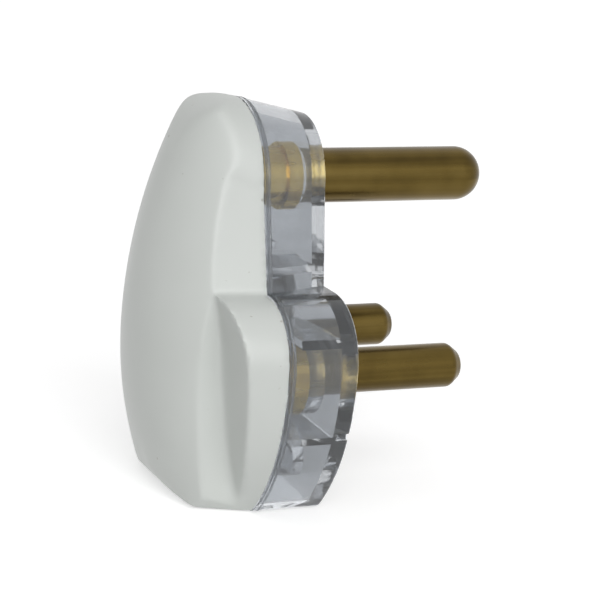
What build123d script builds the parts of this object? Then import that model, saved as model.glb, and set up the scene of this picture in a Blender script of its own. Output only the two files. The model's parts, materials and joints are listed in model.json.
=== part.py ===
# A rewirable three-pin plug top: a clear base that carries the pins, and a white cover
# that is screwed on behind it.
# Millimetres. X points out of the pin face, Z up (earth pin above), Y across.
# The origin is on the pin face, midway between the two power pins.
import os
from math import asin, cos, degrees, radians, sqrt, tan
from build123d import *

os.makedirs("parts", exist_ok=True)

# Pins
power_pin_spacing = 25.4
earth_pin_height = 28.58
power_pin_diameter = 7.06
earth_pin_diameter = 8.71
power_pin_length = 23.8
earth_pin_length = 31.45
power_tip_chamfer_length = 1.9
power_tip_chamfer_depth = 1.5
power_tip_rounding = 1.4
pin_seat_step = 0.2
pin_seat_projection = 0.3
pin_hole_clearance = 0.08

# Outline of the body, seen from the pin side
top_radius_front = 10.0
top_radius_joint = 12.6
notch_half_width_front = 12.0
shoulder_flat_joint = 0.4
shoulder_height = 13.7
grip_half_width = 26.5
grip_corner_radius = 9.9
grip_flank_radius = 34.0
bottom_depth = 21.3
bottom_corner_radius = 2.4

# Clear base
base_depth = 11.3
plate_thickness = 2.2
base_wall = 1.9
tongue_height = 1.5
tongue_clearance = 0.12
front_edge_rounding = 0.35
rim_notch_level = 6.8
rim_notch_height = 1.1
rim_notch_depth = 0.8

# Pin seats and ribs inside the base
power_boss_height = 2.6
power_boss_wall = 2.6
rib_thickness = 1.2
pocket_rib_height = 6.4
pocket_clearance = 0.7
barrier_level = 16.2
barrier_rib_height = 8.0
barrier_gap = 8.0

# White cover
cover_wall = 2.0
cover_draft = 8.0
top_lean = 14.0
crown_depth = 16.2
crown_level = 3.5
crown_depth_top = 8.0
crown_depth_bottom = 10.8
crease_depth = 9.4
crease_level = 2.0
crease_radius = 170.0
crease_inset = 1.0
crease_half_width_top = 7.2
top_roll_level = 33.0
top_roll_angle = 25.0
top_roll_radius = 8.2
bottom_roll_level = -14.0
bottom_roll_angle = 20.0
bottom_roll_radius = 7.0
roll_clearance = 0.05
scoop_depth_top = 8.5
scoop_depth_upper = 6.6
scoop_depth_middle = 5.9
scoop_depth_lower = 4.8
scoop_depth_bottom = 1.9
scoop_level_upper = 7.0
scoop_level_lower = 9.0

# Pin heads and terminal screws
flange_diameter = 12.4
flange_thickness = 2.3
earth_flange_diameter = 10.8
head_diameter = 9.4
head_projection = 1.6
wire_hole_diameter = 3.4
wire_hole_inset = 3.3
terminal_screw_diameter = 3.4
terminal_screw_length = 2.4
terminal_screw_head_diameter = 5.8
terminal_screw_head_height = 1.8
screw_clearance = 0.1
slot_width = 0.9
slot_depth = 0.9

# Cover screw and its nut
cover_screw_height = 9.6
cover_screw_diameter = 3.9
cover_screw_head_diameter = 7.0
cover_screw_head_height = 2.2
cover_screw_recess = 1.0
cover_screw_projection = 2.0
pillar_diameter = 10.0
pillar_gap = 0.5
nut_across_flats = 7.0
nut_thickness = 3.2
nut_clearance = 0.1
boss_wall = 1.8

# Cord entry and clamp
cord_entry_diameter = 9.6
cord_entry_depth = 8.6
clamp_level = 14.0
clamp_post_inset = 17.0
clamp_post_diameter = 6.6
clamp_post_height = 9.6
clamp_bar_width = 6.4
clamp_bar_thickness = 2.8
clamp_ridge_radius = 1.2
clamp_screw_diameter = 2.9
clamp_screw_length = 8.0
clamp_screw_head_diameter = 5.6
clamp_screw_head_height = 1.9

# Cutting and lofted shapes run past each other by this much
overrun = 1.0
# Even levels at which the crown's sections are laid out
crown_steps = 8

grip_widest = shoulder_height - grip_corner_radius
notch_half_width_joint = grip_half_width - grip_corner_radius - shoulder_flat_joint
crease_half_width = notch_half_width_joint - crease_inset
cover_depth = crown_depth + 2 * overrun
top_level = earth_pin_height + top_radius_joint
head_end_depth = base_depth + head_projection
clamp_post_spacing = 2 * (grip_half_width - clamp_post_inset)


def between(front, joint, depth):
    """A size that changes evenly from the pin face back to the joint."""
    return front + (joint - front) * depth / base_depth


def arc_drop(radius, distance):
    """How far an arc has fallen away from its tangent at a distance along it."""
    return radius - sqrt(radius**2 - distance**2)


def arc_radius(half_chord, drop):
    """The radius of an arc that falls by a drop at a distance from its middle."""
    return (half_chord**2 + drop**2) / (2 * drop)


def outline(depth, top_radius, notch_half_width, inset, wall, rise=0.0):
    """The body's outline: round top, straight sides, two rounded grips and a flat bottom."""
    top_middle = earth_pin_height + rise
    shoulder = shoulder_height - wall
    half_width = grip_half_width - inset
    corner = grip_corner_radius - inset
    flank = grip_flank_radius - inset
    widest = shoulder - corner
    bottom = bottom_depth - wall
    turn = asin((widest + bottom) / flank)
    heel = half_width - flank * (1 - cos(turn))
    with BuildSketch(Plane.YZ.offset(-depth)) as face:
        with BuildLine():
            CenterArc((0, top_middle), top_radius, 0, 90)
            Polyline(
                (top_radius, top_middle),
                (notch_half_width, shoulder),
                (half_width - corner, shoulder),
            )
            CenterArc((half_width - corner, widest), corner, 0, 90)
            CenterArc((half_width - flank, widest), flank, -degrees(turn), degrees(turn))
            Line((heel, -bottom), (0, -bottom))
            mirror(about=Plane.YZ)
        make_face()
        fillet(face.vertices().group_by(Axis.Y)[0].sort_by(Axis.X)[0], bottom_corner_radius)
        fillet(face.vertices().group_by(Axis.Y)[0].sort_by(Axis.X)[-1], bottom_corner_radius)
    return face.sketch


def base_outline(depth, wall=0.0):
    """The outline of the base at a depth behind the pin face."""
    top_radius = between(top_radius_front, top_radius_joint, depth)
    notch = between(notch_half_width_front, notch_half_width_joint, depth)
    return outline(depth, top_radius - wall, notch - wall, wall, wall)


def joint_outline(depth, inset):
    """The outline where the halves meet, at any depth."""
    return outline(depth, top_radius_joint - inset, notch_half_width_joint - inset, inset, inset)


def cover_outline(depth, wall=0.0):
    """The outline of the cover behind the joint: its sides lean inwards and its top outwards."""
    draft = depth * tan(radians(cover_draft))
    inset = wall + draft
    notch = notch_half_width_joint - inset
    rise = draft + depth * tan(radians(top_lean))
    return outline(base_depth + depth, top_radius_joint - inset, notch, inset, wall, rise)


def crown_reach(height):
    """How far the middle of the cover's back stands behind the joint."""
    if height > crown_level:
        radius = arc_radius(top_level - crown_level, crown_depth - crown_depth_top)
    else:
        radius = arc_radius(bottom_depth + crown_level, crown_depth - crown_depth_bottom)
    return crown_depth - arc_drop(radius, height - crown_level)


def crown_section(height, wall):
    """One level of the cover's back: an arc through the crown and the two creases."""
    crown = crown_reach(height)
    crease = crease_depth - arc_drop(crease_radius, height - crease_level)
    narrowing = arc_radius(top_level - crease_level, crease_half_width - crease_half_width_top)
    half_width = crease_half_width - arc_drop(narrowing, max(height - crease_level, 0))
    edge = half_width + crease_inset + overrun
    back = -base_depth - crown + wall
    edge_x = back + arc_drop(arc_radius(half_width, crown - crease), edge)
    with BuildSketch(Plane.XY.offset(height)) as section:
        with BuildLine():
            ThreePointArc((edge_x, -edge), (back, 0), (edge_x, edge))
            Polyline((edge_x, edge), (0, edge), (0, -edge), (edge_x, -edge))
        make_face()
    return section.sketch


def crown_form(wall):
    """What the convex back leaves of the cover, from below the bottom to above the top."""
    joint_half_width = notch_half_width_joint - wall
    back_half_width = joint_half_width - cover_depth * tan(radians(cover_draft))
    lowest = -bottom_depth - overrun
    highest = top_level + crown_depth_top * tan(radians(top_lean)) + overrun
    levels = [lowest + (highest - lowest) * step / crown_steps for step in range(crown_steps + 1)]
    with BuildPart() as crown:
        for level in levels:
            add(crown_section(level, wall))
        loft()
        # the flat sides beside the crown lean in like the rest of the cover
        with BuildSketch(Plane.XY.offset(lowest - overrun)):
            with BuildLine():
                Polyline(
                    (-base_depth + overrun, joint_half_width),
                    (-base_depth, joint_half_width),
                    (-base_depth - cover_depth, back_half_width),
                    (-base_depth - cover_depth, -back_half_width),
                    (-base_depth, -joint_half_width),
                    (-base_depth + overrun, -joint_half_width),
                    close=True,
                )
            make_face()
        extrude(amount=highest - lowest + 2 * overrun, mode=Mode.INTERSECT)
    return crown.part


def rolled_form(wall):
    """The cover's side view: its back rolls over into the leaning top and into the bottom."""
    lean = tan(radians(top_lean))
    top_slope = tan(radians(top_roll_angle))
    bottom_slope = tan(radians(bottom_roll_angle))
    top_back = crown_reach(top_roll_level) - wall
    bottom_back = crown_reach(bottom_roll_level) - wall
    top = top_level - wall + roll_clearance
    bottom = wall - bottom_depth - roll_clearance
    corner_level = (top + lean * (top_back + top_slope * top_roll_level)) / (1 + lean * top_slope)
    corner_back = top_back - top_slope * (corner_level - top_roll_level)
    foot_back = bottom_back - bottom_slope * (bottom_roll_level - bottom)
    # the two slanting lines meet behind the crown
    meeting_level = top_back - bottom_back + top_slope * top_roll_level + bottom_slope * bottom_roll_level
    meeting_level /= top_slope + bottom_slope
    meeting_back = bottom_back + bottom_slope * (meeting_level - bottom_roll_level)
    with BuildPart() as rolled:
        with BuildSketch(Plane.XZ) as side:
            with BuildLine():
                Polyline(
                    (-base_depth + overrun, bottom),
                    (-base_depth - foot_back, bottom),
                    (-base_depth - meeting_back, meeting_level),
                    (-base_depth - corner_back, corner_level),
                    (-base_depth + overrun, top - lean * overrun),
                    close=True,
                )
            make_face()
            fillet(side.vertices().sort_by(Axis.Y)[-1], top_roll_radius - wall)
            lowest = side.vertices().group_by(Axis.Y)[0]
            fillet(lowest.sort_by(Axis.X)[0], bottom_roll_radius - wall)
        extrude(amount=grip_half_width + overrun, both=True)
    return rolled.part


def grip_form(wall):
    """What the finger scoops leave of the two grips, as one block as wide as the cover."""
    front = -base_depth + overrun
    top = shoulder_height + overrun
    bottom = -bottom_depth - overrun
    points = [
        (-base_depth - scoop_depth_top + wall, top),
        (-base_depth - scoop_depth_upper + wall, scoop_level_upper),
        (-base_depth - scoop_depth_middle + wall, 0),
        (-base_depth - scoop_depth_lower + wall, -scoop_level_lower),
        (-base_depth - scoop_depth_bottom + wall, bottom),
    ]
    with BuildPart() as grip:
        with BuildSketch(Plane.XZ):
            with BuildLine():
                Spline(*points)
                Polyline(points[-1], (front, bottom), (front, top), points[0])
            make_face()
        extrude(amount=grip_half_width + overrun, both=True)
    return grip.part


def cover_form(wall):
    """The cover's outer shape, or with a wall the hollow inside it."""
    with BuildPart() as limit:
        add(crown_form(wall))
        add(grip_form(wall))
    with BuildPart() as form:
        add(cover_outline(0, wall))
        add(cover_outline(cover_depth, wall))
        loft(ruled=True)
        add(limit.part, mode=Mode.INTERSECT)
        add(rolled_form(wall), mode=Mode.INTERSECT)
    return form.part


def base_block(wall=0.0):
    """The base filled in, or with a wall the space inside its side wall."""
    with BuildPart() as block:
        add(base_outline(0, wall))
        add(base_outline(base_depth, wall))
        loft(ruled=True)
    return block.part


def grip_side(level):
    """Half the width of the grips at a level."""
    radius = grip_corner_radius if level > grip_widest else grip_flank_radius
    return grip_half_width - arc_drop(radius, abs(level - grip_widest))


pin_places = {
    "live_pin": (-power_pin_spacing / 2, 0),
    "neutral_pin": (power_pin_spacing / 2, 0),
    "earth_pin": (0, earth_pin_height),
}
power_places = [pin_places["live_pin"], pin_places["neutral_pin"]]
clamp_places = [(-clamp_post_spacing / 2, -clamp_level), (clamp_post_spacing / 2, -clamp_level)]
clamp_place = (0, -clamp_level)
pillar_place = (0, cover_screw_height)

# Levels along X, from the front backwards
power_seat = -plate_thickness - power_boss_height
clamp_seat = -plate_thickness - clamp_post_height
bar_back = clamp_seat - clamp_bar_thickness
screw_seat = -cover_screw_recess - cover_screw_head_height
boss_end = -base_depth - pillar_gap
nut_seat = boss_end - nut_thickness - nut_clearance
screw_tip = nut_seat - cover_screw_projection
crown_inside = -base_depth - crown_depth + cover_wall
nut_radius = nut_across_flats / 2 / cos(radians(30))

plate_middle = Plane.YZ.offset(-plate_thickness / 2)

# Ribs that keep the pin heads, the wires and the two halves of the base apart
pocket_half = flange_diameter / 2 + pocket_clearance + rib_thickness / 2
pocket_inner = power_pin_spacing / 2 - pocket_half
with BuildPart() as ribs:
    with BuildSketch(plate_middle):
        with Locations((-pocket_inner, 0), (pocket_inner, 0)):
            Rectangle(rib_thickness, 2 * pocket_half + rib_thickness)
        for side in (-1, 1):
            with Locations((side * (pocket_inner + grip_half_width) / 2, 0)):
                with GridLocations(0, 2 * pocket_half, 1, 2):
                    Rectangle(grip_half_width - pocket_inner, rib_thickness)
    extrude(amount=-plate_thickness / 2 - pocket_rib_height)
    with BuildSketch(plate_middle):
        with Locations((0, barrier_level)):
            Rectangle(2 * notch_half_width_joint, rib_thickness)
            Rectangle(barrier_gap, 2 * rib_thickness, mode=Mode.SUBTRACT)
    extrude(amount=-plate_thickness / 2 - barrier_rib_height)
    add(base_block(base_wall / 2), mode=Mode.INTERSECT)

# Clear base
with BuildPart() as base:
    add(base_block())
    # a small notch in the rim on each flank
    notch_side = grip_side(-rim_notch_level)
    with BuildSketch(Plane.YZ):
        with Locations((-notch_side, -rim_notch_level), (notch_side, -rim_notch_level)):
            Rectangle(2 * rim_notch_depth, rim_notch_height)
    extrude(amount=plate_thickness, both=True, mode=Mode.SUBTRACT)
    fillet(base.faces().sort_by(Axis.X)[-1].edges(), front_edge_rounding)
    # the tongue that stands into the cover
    add(joint_outline(base_depth - overrun, base_wall / 2))
    extrude(amount=overrun + tongue_height, dir=(-1, 0, 0))
    # the space inside
    add(base_outline(plate_thickness, base_wall))
    add(base_outline(base_depth, base_wall))
    add(joint_outline(base_depth + tongue_height + overrun, base_wall))
    loft(ruled=True, mode=Mode.SUBTRACT)
    add(ribs.part)
    # bosses under the power pins, the screw pillar and the clamp posts
    with BuildSketch(plate_middle):
        with Locations(*power_places):
            Circle(power_pin_diameter / 2 + power_boss_wall)
    extrude(amount=-plate_thickness / 2 - power_boss_height)
    with BuildSketch(plate_middle):
        with Locations(pillar_place):
            Circle(pillar_diameter / 2)
    extrude(amount=plate_thickness / 2 - base_depth)
    with BuildSketch(plate_middle):
        with Locations(*clamp_places):
            Circle(clamp_post_diameter / 2)
    extrude(amount=-plate_thickness / 2 - clamp_post_height)
    # the ridge that bites on the cord, opposite the clamp bar's
    with BuildSketch(Plane.XZ):
        with Locations((-plate_thickness, -clamp_level)):
            Circle(clamp_ridge_radius)
    extrude(amount=clamp_post_spacing / 2 - clamp_screw_diameter, both=True)
    # pin holes
    with BuildSketch(Plane.YZ):
        with Locations(*power_places):
            Circle(power_pin_diameter / 2 + pin_seat_step + pin_hole_clearance)
        with Locations(pin_places["earth_pin"]):
            Circle(earth_pin_diameter / 2 + pin_seat_step + pin_hole_clearance)
        with Locations(pillar_place):
            Circle(cover_screw_diameter / 2 + screw_clearance)
    extrude(amount=-base_depth, mode=Mode.SUBTRACT)
    with BuildSketch(Plane.YZ):
        with Locations(pillar_place):
            Circle(cover_screw_head_diameter / 2 + 2 * screw_clearance)
    extrude(amount=screw_seat, mode=Mode.SUBTRACT)
    with BuildSketch(Plane.YZ.offset(clamp_seat)):
        with Locations(*clamp_places):
            Circle(clamp_screw_diameter / 2 + screw_clearance)
    extrude(amount=clamp_screw_length - clamp_bar_thickness + 4 * screw_clearance, mode=Mode.SUBTRACT)
    # cord entry through the bottom, shared with the cover
    with BuildSketch(Plane.XY.offset(-bottom_depth)):
        with Locations((-cord_entry_depth, 0)):
            Circle(cord_entry_diameter / 2)
    extrude(amount=2 * base_wall, both=True, mode=Mode.SUBTRACT)

# White cover
with BuildPart() as cover:
    add(cover_form(0))
    add(cover_form(cover_wall), mode=Mode.SUBTRACT)
    # rebate round the joint for the base's tongue
    rebate = base_wall / 2 - tongue_clearance
    add(joint_outline(base_depth - overrun, rebate))
    extrude(amount=overrun + tongue_height + tongue_clearance, dir=(-1, 0, 0), mode=Mode.SUBTRACT)
    # boss for the cover screw, with a pocket for the nut in its end
    with BuildSketch(Plane.YZ.offset(boss_end)):
        with Locations(pillar_place):
            Circle(nut_radius + boss_wall)
    extrude(amount=crown_inside - boss_end - 2 * screw_clearance)
    with BuildSketch(Plane.YZ.offset(boss_end)):
        with Locations(pillar_place):
            RegularPolygon(nut_radius + nut_clearance, 6)
    extrude(amount=nut_seat - boss_end, mode=Mode.SUBTRACT)
    with BuildSketch(Plane.YZ.offset(boss_end)):
        with Locations(pillar_place):
            Circle(cover_screw_diameter / 2 + screw_clearance)
    extrude(amount=screw_tip - boss_end - cover_screw_projection / 2, mode=Mode.SUBTRACT)
    with BuildSketch(Plane.XY.offset(-bottom_depth)):
        with Locations((-cord_entry_depth, 0)):
            Circle(cord_entry_diameter / 2)
    extrude(amount=2 * cover_wall, both=True, mode=Mode.SUBTRACT)


def pin(name, seat, diameter, length, flange, tip):
    """A pin turned from bar: shank, flange and a head with a wire hole and a screw hole."""
    place = pin_places[name]
    radius = diameter / 2
    axis_point = (0, *place)
    with BuildPart() as turned:
        with BuildSketch(Plane(axis_point, x_dir=(1, 0, 0), z_dir=(0, -1, 0))) as profile:
            with BuildLine():
                outer = [
                    (-head_end_depth, 0),
                    (-head_end_depth, head_diameter / 2),
                    (seat - flange_thickness, head_diameter / 2),
                    (seat - flange_thickness, flange / 2),
                    (seat, flange / 2),
                    (seat, radius + pin_seat_step),
                    (pin_seat_projection, radius + pin_seat_step),
                    (pin_seat_projection, radius),
                ]
                if tip == "round":
                    Polyline(*outer, (length - radius, radius))
                    CenterArc((length - radius, 0), radius, 0, 90)
                else:
                    Polyline(
                        *outer,
                        (length - power_tip_chamfer_length, radius),
                        (length, radius - power_tip_chamfer_depth),
                        (length, 0),
                    )
                Line((length, 0), (-head_end_depth, 0))
            make_face()
            if tip != "round":
                tip_corners = profile.vertices().filter_by_position(
                    Axis.X, length - power_tip_chamfer_length - 0.1, length
                ).filter_by_position(Axis.Y, 1, radius)
                fillet(tip_corners, power_tip_rounding)
        revolve(axis=Axis(axis_point, (1, 0, 0)))
        with BuildSketch(Plane.XY.offset(place[1])):
            with Locations((wire_hole_inset - head_end_depth, place[0])):
                Circle(wire_hole_diameter / 2)
        extrude(amount=head_diameter, both=True, mode=Mode.SUBTRACT)
        with BuildSketch(Plane.YZ.offset(-head_end_depth)):
            with Locations(place):
                Circle(terminal_screw_diameter / 2 + screw_clearance)
        extrude(amount=wire_hole_inset, mode=Mode.SUBTRACT)
    turned.part.label = name
    return turned.part


def slotted_screw(name, place, seat, forward, diameter, length, head_diameter, head_height):
    """A cheese-head screw along X. Its shank points out of the pin face, or inwards if not forward."""
    along = 1 if forward else -1
    with BuildPart() as screw:
        with BuildSketch(Plane.YZ.offset(seat)):
            with Locations(place):
                Circle(diameter / 2)
        extrude(amount=along * length)
        chamfer(screw.edges().sort_by(Axis.X)[-1 if forward else 0], diameter / 10)
        with BuildSketch(Plane.YZ.offset(seat)):
            with Locations(place):
                Circle(head_diameter / 2)
        extrude(amount=-along * head_height)
        fillet(screw.edges().sort_by(Axis.X)[0 if forward else -1], head_height / 6)
        with BuildSketch(Plane.YZ.offset(seat - along * head_height)):
            with Locations(place):
                Rectangle(head_diameter + 1, slot_width)
        extrude(amount=along * slot_depth, mode=Mode.SUBTRACT)
    screw.part.label = name
    return screw.part


# Cord clamp: a bar on two posts, with a ridge that faces the cord
with BuildPart() as cord_clamp:
    with BuildSketch(Plane.YZ.offset(clamp_seat)):
        with Locations(clamp_place):
            SlotCenterToCenter(clamp_post_spacing, clamp_bar_width)
        with Locations(*clamp_places):
            Circle(clamp_screw_diameter / 2 + 2 * screw_clearance, mode=Mode.SUBTRACT)
    extrude(amount=-clamp_bar_thickness)
    with BuildSketch(Plane.XZ):
        with Locations((clamp_seat, -clamp_level)):
            Circle(clamp_ridge_radius)
    extrude(amount=clamp_post_spacing / 2 - clamp_post_diameter / 2 - 1, both=True)

# Captive nut in the cover's boss
with BuildPart() as cover_nut:
    with BuildSketch(Plane.YZ.offset(nut_seat)):
        with Locations(pillar_place):
            RegularPolygon(nut_radius, 6)
            Circle(cover_screw_diameter / 2 + screw_clearance, mode=Mode.SUBTRACT)
    extrude(amount=nut_thickness)

base.part.label = "base"
cover.part.label = "cover"
cord_clamp.part.label = "cord_clamp"
cover_nut.part.label = "cover_nut"
export_step(base.part, "parts/base.step")
export_step(cover.part, "parts/cover.step")
export_step(cord_clamp.part, "parts/cord_clamp.step")
export_step(cover_nut.part, "parts/cover_nut.step")

for pin_name in ("live_pin", "neutral_pin"):
    power_pin = pin(pin_name, power_seat, power_pin_diameter, power_pin_length, flange_diameter, "chamfered")
    export_step(power_pin, f"parts/{pin_name}.step")
earth_seat = -plate_thickness
earth_pin = pin("earth_pin", earth_seat, earth_pin_diameter, earth_pin_length, earth_flange_diameter, "round")
export_step(earth_pin, "parts/earth_pin.step")

terminal_size = (
    terminal_screw_diameter,
    terminal_screw_length,
    terminal_screw_head_diameter,
    terminal_screw_head_height,
)
for pin_name, pin_place in pin_places.items():
    screw_name = pin_name.replace("pin", "terminal_screw")
    terminal_screw = slotted_screw(screw_name, pin_place, -head_end_depth, True, *terminal_size)
    export_step(terminal_screw, f"parts/{screw_name}.step")

clamp_size = (
    clamp_screw_diameter,
    clamp_screw_length,
    clamp_screw_head_diameter,
    clamp_screw_head_height,
)
for screw_name, place in zip(("clamp_screw_near", "clamp_screw_far"), clamp_places):
    clamp_screw = slotted_screw(screw_name, place, bar_back, True, *clamp_size)
    export_step(clamp_screw, f"parts/{screw_name}.step")

cover_screw = slotted_screw(
    "cover_screw",
    pillar_place,
    screw_seat,
    False,
    cover_screw_diameter,
    screw_seat - screw_tip,
    cover_screw_head_diameter,
    cover_screw_head_height,
)
export_step(cover_screw, "parts/cover_screw.step")
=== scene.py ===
# A rewirable plug top: white cover, clear base and three round brass pins.
import json

import bpy
from mathutils import Matrix, Vector

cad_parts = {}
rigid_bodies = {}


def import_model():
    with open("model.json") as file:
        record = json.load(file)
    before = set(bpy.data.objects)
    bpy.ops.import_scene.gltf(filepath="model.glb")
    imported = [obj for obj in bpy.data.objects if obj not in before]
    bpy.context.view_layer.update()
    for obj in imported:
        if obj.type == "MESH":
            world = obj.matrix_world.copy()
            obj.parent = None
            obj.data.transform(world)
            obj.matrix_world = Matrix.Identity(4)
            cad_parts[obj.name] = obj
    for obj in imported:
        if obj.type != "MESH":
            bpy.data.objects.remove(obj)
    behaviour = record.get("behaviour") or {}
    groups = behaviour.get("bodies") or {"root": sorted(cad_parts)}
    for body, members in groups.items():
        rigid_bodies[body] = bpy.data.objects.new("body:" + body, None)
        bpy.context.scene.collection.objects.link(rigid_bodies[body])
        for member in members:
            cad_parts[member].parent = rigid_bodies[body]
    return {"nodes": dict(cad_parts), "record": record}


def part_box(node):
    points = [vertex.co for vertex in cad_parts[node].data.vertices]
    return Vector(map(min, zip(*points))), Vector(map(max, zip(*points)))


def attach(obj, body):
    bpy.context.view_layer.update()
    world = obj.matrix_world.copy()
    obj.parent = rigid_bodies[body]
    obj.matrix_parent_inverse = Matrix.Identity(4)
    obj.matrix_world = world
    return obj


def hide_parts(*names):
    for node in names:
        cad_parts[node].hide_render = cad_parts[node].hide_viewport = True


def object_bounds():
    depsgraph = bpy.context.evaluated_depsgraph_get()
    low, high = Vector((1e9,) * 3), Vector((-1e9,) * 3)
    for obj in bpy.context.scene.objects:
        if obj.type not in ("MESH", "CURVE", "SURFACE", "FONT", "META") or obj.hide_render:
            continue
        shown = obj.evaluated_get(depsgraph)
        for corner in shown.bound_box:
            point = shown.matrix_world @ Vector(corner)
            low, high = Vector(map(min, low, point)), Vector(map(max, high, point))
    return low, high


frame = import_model()
cadBounds = [list(corner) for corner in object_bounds()]
mm = 0.001
bpy.ops.object.select_all(action="DESELECT")
print("frame loaded:", len(frame["nodes"]), "nodes")


class Value:
    # a shader socket that takes part in Python expressions
    def __init__(self, finish, socket):
        self.finish = finish
        self.socket = socket

    def calc(self, operation, first, second):
        return self.finish.node("ShaderNodeMath", {"operation": operation}, {0: first, 1: second})

    def __add__(self, other):
        return self.calc("ADD", self, other)

    def __sub__(self, other):
        return self.calc("SUBTRACT", self, other)

    def __mul__(self, other):
        return self.calc("MULTIPLY", self, other)

    def __rsub__(self, other):
        return self.calc("SUBTRACT", other, self)

    __radd__ = __add__
    __rmul__ = __mul__


class Finish:
    # one material, or the world's light, and the nodes in it
    def __init__(self, name, world=None):
        self.owner = world or bpy.data.materials.new(name)
        self.owner.use_nodes = True
        self.tree = self.owner.node_tree
        self.tree.nodes.clear()

    def node(self, kind, settings=None, sockets=None, output=0):
        made = self.tree.nodes.new(kind)
        for name, setting in (settings or {}).items():
            if name == "stops":
                self.setStops(made.color_ramp, setting)
            else:
                setattr(made, name, setting)
        for name, value in (sockets or {}).items():
            if isinstance(value, Value):
                self.tree.links.new(value.socket, made.inputs[name])
            else:
                made.inputs[name].default_value = value
        return None if output is None else Value(self, made.outputs[output])

    def setStops(self, ramp, stops):
        while len(ramp.elements) < len(stops):
            ramp.elements.new(0.5)
        for element, (place, shade) in zip(ramp.elements, stops):
            element.position = place
            element.color = (*shade, 1)

    def objectPoint(self, scale=(1, 1, 1)):
        # the place on the piece, in its own metres, stretched by scale
        point = self.node("ShaderNodeTexCoord", output="Object")
        return self.node("ShaderNodeMapping", {}, {"Vector": point, "Scale": scale})

    def noise(self, scale, detail, roughness, stretch=(1, 1, 1)):
        return self.node(
            "ShaderNodeTexNoise",
            {},
            {
                "Vector": self.objectPoint(stretch),
                "Scale": scale,
                "Detail": detail,
                "Roughness": roughness,
            },
        )

    def ramp(self, value, stops):
        return self.node("ShaderNodeValToRGB", {"stops": stops}, {"Fac": value})

    def grey(self, value, low, high, outLow, outHigh):
        return self.node(
            "ShaderNodeMapRange",
            {},
            {
                "Value": value,
                "From Min": low,
                "From Max": high,
                "To Min": outLow,
                "To Max": outHigh,
            },
        )

    def mix(self, factor, first, second):
        # the colour sockets of a Mix node come after its number and vector ones
        sockets = {0: factor}
        for place, colour in ((6, first), (7, second)):
            sockets[place] = colour if isinstance(colour, Value) else (*colour, 1)
        return self.node("ShaderNodeMix", {"data_type": "RGBA"}, sockets, output=2)

    def bump(self, height, strength, distance):
        return self.node(
            "ShaderNodeBump", {}, {"Height": height, "Strength": strength, "Distance": distance}
        )

    def looking(self):
        # 1 for the camera's rays and for those that gloss or clear plastic sends on, else 0
        rays = [
            self.node("ShaderNodeLightPath", output=name)
            for name in ("Is Camera Ray", "Is Glossy Ray", "Is Transmission Ray")
        ]
        return self.node(
            "ShaderNodeMath",
            {"operation": "ADD", "use_clamp": True},
            {0: rays[0] + rays[1], 1: rays[2]},
        )

    def surface(self, **sockets):
        named = {name.replace("_", " "): value for name, value in sockets.items()}
        self.show(self.node("ShaderNodeBsdfPrincipled", {}, named))
        return self.owner

    def show(self, shader):
        kind = "World" if isinstance(self.owner, bpy.types.World) else "Material"
        self.node("ShaderNodeOutput" + kind, {}, {"Surface": shader}, output=None)


def whiteCoverPlastic():
    # satin white moulding with a slight cloud in its colour and a few specks of dirt
    finish = Finish("whiteCoverPlastic")
    cloud = finish.noise(55, 2, 0.5)
    grain = finish.noise(2600, 2, 0.6)
    specks = finish.grey(finish.noise(900, 1, 0.4), 0.785, 0.82, 0.0, 0.5)
    clean = finish.ramp(cloud, [(0.3, (0.60, 0.625, 0.60)), (0.7, (0.64, 0.665, 0.64))])
    dirt = (0.30, 0.28, 0.23)
    return finish.surface(
        Base_Color=finish.mix(specks, clean, dirt),
        Roughness=finish.grey(cloud, 0.3, 0.7, 0.30, 0.38),
        Normal=finish.bump(grain, 0.06, 0.00004),
        IOR=1.5,
    )


def clearBasePlastic():
    # clear moulding, a little hazy and smoke blue, with a slight ripple in its skin
    finish = Finish("clearBasePlastic")
    cloud = finish.noise(90, 2, 0.5)
    ripple = finish.noise(260, 2, 0.5)
    return finish.surface(
        Base_Color=(0.60, 0.622, 0.648, 1),
        Roughness=finish.grey(cloud, 0.3, 0.7, 0.035, 0.075),
        Normal=finish.bump(ripple, 0.08, 0.0002),
        IOR=1.45,
        Transmission_Weight=0.92,
    )


def turnedBrass():
    # brass bar with drawing streaks and turning rings; in front of the pin face at X 0 its colour
    # is darkened as a painted dark reflection of darker surroundings, and inside the clear base
    # it is brighter, partly clean brass and partly a painted glint
    finish = Finish("turnedBrass")
    tarnish = finish.noise(110, 3, 0.5)
    streaks = finish.noise(520, 2, 0.5, stretch=(0.02, 1, 1))
    rings = finish.noise(2500, 2, 0.6, stretch=(1, 0.02, 0.02))
    worn = tarnish * 0.4 + streaks * 0.6
    # these dark brass shades are painted dark reflection: they stand in for the darker
    # surroundings that the pins reflect
    dark, middling, light = (0.065, 0.044, 0.013), (0.115, 0.079, 0.022), (0.165, 0.117, 0.036)
    paintedDarkReflection = finish.ramp(worn, [(0.34, dark), (0.50, middling), (0.66, light)])
    # brighter, more golden brass inside the clear base: partly clean brass, partly a painted
    # glint that shows as gold highlights through the base
    cleanBrassAndPaintedGlint = finish.ramp(worn, [(0.36, (0.54, 0.36, 0.08)), (0.64, (0.88, 0.64, 0.18))])
    alongPin = finish.node(
        "ShaderNodeSeparateXYZ", {}, {"Vector": finish.objectPoint()}, output="X"
    )
    # the share of the painted dark reflection along the pin, against the brighter inside with its
    # painted glint
    darkReflectionShare = finish.grey(alongPin, -0.6 * mm, 0.4 * mm, 0.0, 1.0)
    return finish.surface(
        Base_Color=finish.mix(darkReflectionShare, cleanBrassAndPaintedGlint, paintedDarkReflection),
        Metallic=1.0,
        Roughness=finish.grey(worn, 0.35, 0.65, 0.31, 0.22),
        Normal=finish.bump(rings * 0.5 + streaks * 0.5, 0.08, 0.00003),
    )


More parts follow.
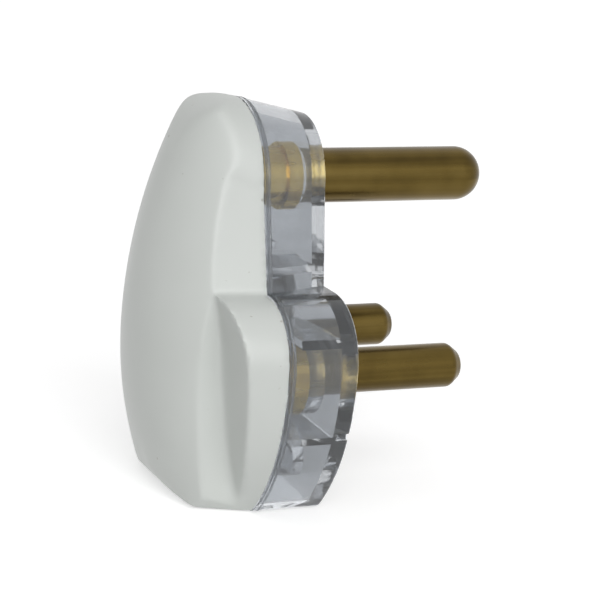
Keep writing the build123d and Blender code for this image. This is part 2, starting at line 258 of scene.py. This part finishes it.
def platedSteel():
    # zinc plated screws and nut, duller where they are worn
    finish = Finish("platedSteel")
    wear = finish.noise(400, 3, 0.6)
    return finish.surface(
        Base_Color=finish.ramp(wear, [(0.35, (0.42, 0.41, 0.39)), (0.7, (0.58, 0.57, 0.54))]),
        Metallic=1.0,
        Roughness=finish.grey(wear, 0.3, 0.7, 0.4, 0.28),
    )


def clampPlastic():
    # the cord clamp's off-white moulding, with a fine grain
    finish = Finish("clampPlastic")
    grain = finish.noise(1800, 3, 0.6)
    return finish.surface(
        Base_Color=finish.ramp(grain, [(0.3, (0.66, 0.67, 0.65)), (0.7, (0.72, 0.73, 0.71))]),
        Roughness=0.5,
        Normal=finish.bump(grain, 0.1, 0.00005),
    )


finishes = {
    "clear_base": clearBasePlastic(),
    "white_cover": whiteCoverPlastic(),
    "brass": turnedBrass(),
    "plated_steel": platedSteel(),
    "clamp_plastic": clampPlastic(),
}
for part in frame["record"]["subparts"]:
    node = frame["nodes"][part["node"]]
    node.data.materials.clear()
    node.data.materials.append(finishes[part["material_slot"]])
print("finishes made:", len(finishes))

# the joint between the cover and the base, as a place on X
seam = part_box("cover")[1][0]
mergeDistance = 0.002 * mm


def copyOf(nodeName, pieceName):
    # a selected copy of a node, with the points that its faces share merged
    source = frame["nodes"][nodeName]
    piece = source.copy()
    piece.data = source.data.copy()
    piece.name = pieceName
    piece.data.name = pieceName
    bpy.context.collection.objects.link(piece)
    bpy.context.view_layer.objects.active = piece
    piece.select_set(True)
    bpy.ops.object.mode_set(mode="EDIT")
    bpy.ops.mesh.select_all(action="SELECT")
    bpy.ops.mesh.remove_doubles(threshold=mergeDistance)
    bpy.ops.object.mode_set(mode="OBJECT")
    return piece


# the cover again, with its creases, its rolled top and its scoops rounded as the mould leaves
# them: the rounds are steps of smoothing, and each pair of places says where a group's share
# of it grows from none to all
coverShell = {
    "voxel": 0.38 * mm,
    "creaseRounds": 9,
    "topRounds": 60,
    "topUp": (33 * mm, 38 * mm),
    "scoopRounds": 50,
    "scoopInner": (15.3 * mm, 16.0 * mm),
    "scoopOuter": (21.5 * mm, 19.5 * mm),
    "scoopUpper": (12.5 * mm, 9.5 * mm),
    "scoopBack": (-13.0 * mm, -13.6 * mm),
    "seamKept": 0.1 * mm,
    "frontFacing": 0.35,
    "smoothAngle": 0.6,
}


def outerSkin(piece):
    # the points of the cover's outer skin, whose normals look away from the rest of it
    skin = []
    for vertex in piece.data.vertices:
        atSeam = vertex.co.x > seam - coverShell["seamKept"]
        if atSeam or vertex.normal.x > coverShell["frontFacing"]:
            continue
        start = vertex.co + vertex.normal * coverShell["voxel"]
        if not piece.ray_cast(start, vertex.normal)[0]:
            skin.append(vertex.index)
    return skin


def ramped(value, places):
    start, end = places
    return min(max((value - start) / (end - start), 0), 1)


def shareOf(group, point):
    # how strongly a group's rounding acts at a point of the skin
    if group == "top":
        return ramped(point.z, coverShell["topUp"])
    if group == "scoops":
        share = 1.0
        for value, places in (
            (abs(point.y), "scoopInner"),
            (abs(point.y), "scoopOuter"),
            (point.z, "scoopUpper"),
            (point.x, "scoopBack"),
        ):
            share *= ramped(value, coverShell[places])
        return share
    return 1.0


def makeCoverShell():
    shell = copyOf("cover", "coverShell")
    remesh = shell.modifiers.new("voxels", "REMESH")
    remesh.mode = "VOXEL"
    remesh.voxel_size = coverShell["voxel"]
    bpy.ops.object.modifier_apply(modifier="voxels")
    skin = outerSkin(shell)
    for group, rounds in (
        ("creases", coverShell["creaseRounds"]),
        ("top", coverShell["topRounds"]),
        ("scoops", coverShell["scoopRounds"]),
    ):
        weights = shell.vertex_groups.new(name=group)
        for index in skin:
            share = shareOf(group, shell.data.vertices[index].co)
            if share > 0:
                weights.add([index], share, "REPLACE")
        smooth = shell.modifiers.new(group, "SMOOTH")
        smooth.factor = 0.5
        smooth.iterations = rounds
        smooth.vertex_group = group
        bpy.ops.object.modifier_apply(modifier=group)
    bpy.ops.object.shade_smooth_by_angle(angle=coverShell["smoothAngle"])
    shell.select_set(False)
    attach(shell, "root")
    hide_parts("cover")
    print("cover shell:", len(shell.data.polygons), "faces")


makeCoverShell()

# the raised bead round the clear base, just in front of the joint
seamBead = {"forward": 0.9 * mm, "radius": 0.22 * mm, "rounding": 3, "sunk": 0.12 * mm}


def makeSeamBead():
    # the base's outline at the bead's level, drawn in by the bead's sunk part and made round
    bead = copyOf("base", "seamBead")
    bpy.ops.object.mode_set(mode="EDIT")
    bpy.ops.mesh.select_all(action="SELECT")
    bpy.ops.mesh.bisect(
        plane_co=(seam + seamBead["forward"], 0, 0),
        plane_no=(1, 0, 0),
        clear_inner=True,
        clear_outer=True,
    )
    bpy.ops.mesh.select_all(action="DESELECT")
    bpy.ops.object.mode_set(mode="OBJECT")
    widest = max(bead.data.vertices, key=lambda vertex: vertex.co.y)
    widest.select = True
    bpy.ops.object.mode_set(mode="EDIT")
    bpy.ops.mesh.select_linked()
    bpy.ops.mesh.select_all(action="INVERT")
    bpy.ops.mesh.delete(type="VERT")
    low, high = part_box("base")
    middle = [(near + far) / 2 for near, far in zip(low, high)]
    shrink = [1 - 2 * seamBead["sunk"] / (far - near) for near, far in zip(low, high)]
    bpy.ops.mesh.select_all(action="SELECT")
    bpy.ops.transform.resize(value=(1, shrink[1], shrink[2]), center_override=middle)
    bpy.ops.object.mode_set(mode="OBJECT")
    bpy.ops.object.convert(target="CURVE")
    bead = bpy.context.object
    bead.data.bevel_depth = seamBead["radius"]
    bead.data.bevel_resolution = seamBead["rounding"]
    bpy.ops.object.convert(target="MESH")
    bead = bpy.context.object
    bead.data.materials.clear()
    bead.data.materials.append(finishes["clear_base"])
    bpy.ops.object.shade_smooth()
    bead.select_set(False)
    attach(bead, "root")
    print("seam bead:", len(bead.data.polygons), "faces")


makeSeamBead()

# studio: pale floor with a glow of its own, even world light and two soft suns
studio = {
    "floorHalf": 2.0,
    "floorColour": (0.86, 0.86, 0.86, 1),
    "floorGlow": 0.52,
    "white": (1, 1, 1, 1),
    "worldLight": 0.33,
    "keyLight": 1.65,
    "keyFrom": (-0.15, -0.87, 0.45),
    "fillLight": 0.26,
    "fillFrom": (-0.2, -0.3, 1.0),
    "softness": 0.9,
}


def paleFloor():
    finish = Finish("paleFloor")
    matt = finish.node("ShaderNodeBsdfDiffuse", {}, {"Color": studio["floorColour"]})
    glow = finish.node(
        "ShaderNodeEmission",
        {},
        {"Color": studio["white"], "Strength": finish.looking() * studio["floorGlow"]},
    )
    finish.show(finish.node("ShaderNodeAddShader", {}, {0: matt, 1: glow}))
    return finish.owner


bpy.ops.mesh.primitive_plane_add(size=2 * studio["floorHalf"], location=(0, 0, cadBounds[0][2]))
floor = bpy.context.object
floor.name = "floor"
floor.data.materials.append(paleFloor())

world = bpy.data.worlds.new("studioLight")
bpy.context.scene.world = world
sky = Finish("studioLight", world)
strength = sky.looking() * (1 - studio["worldLight"]) + studio["worldLight"]
sky.show(sky.node("ShaderNodeBackground", {}, {"Color": studio["white"], "Strength": strength}))

for name in ("key", "fill"):
    source = studio[name + "From"]
    bpy.ops.object.light_add(type="SUN", location=source)
    sun = bpy.context.object
    sun.name = name + "Sun"
    sun.data.energy = studio[name + "Light"]
    sun.data.angle = studio["softness"]
    sun.rotation_euler = Vector(source).to_track_quat("Z", "Y").to_euler()

# camera: the photograph's place, turn and lens, in the plug's own frame
shot = {
    "place": (-0.13636, -0.30606, 0.09246),
    "right": (0.91648, -0.39477, 0.06496),
    "up": (0.03866, 0.24898, 0.96774),
    "lens": 129.5,
    "sensorWidth": 36,
    "clipStart": 0.01,
}
bpy.ops.object.camera_add(location=shot["place"])
camera = bpy.context.object
right = Vector(shot["right"]).normalized()
back = right.cross(Vector(shot["up"])).normalized()
camera.rotation_mode = "QUATERNION"
camera.rotation_quaternion = Matrix((right, back.cross(right), back)).transposed().to_quaternion()
camera.data.lens = shot["lens"]
camera.data.sensor_width = shot["sensorWidth"]
camera.data.clip_start = shot["clipStart"]
bpy.context.scene.camera = camera
bpy.context.scene.view_settings.view_transform = "Standard"
print("studio and camera set")
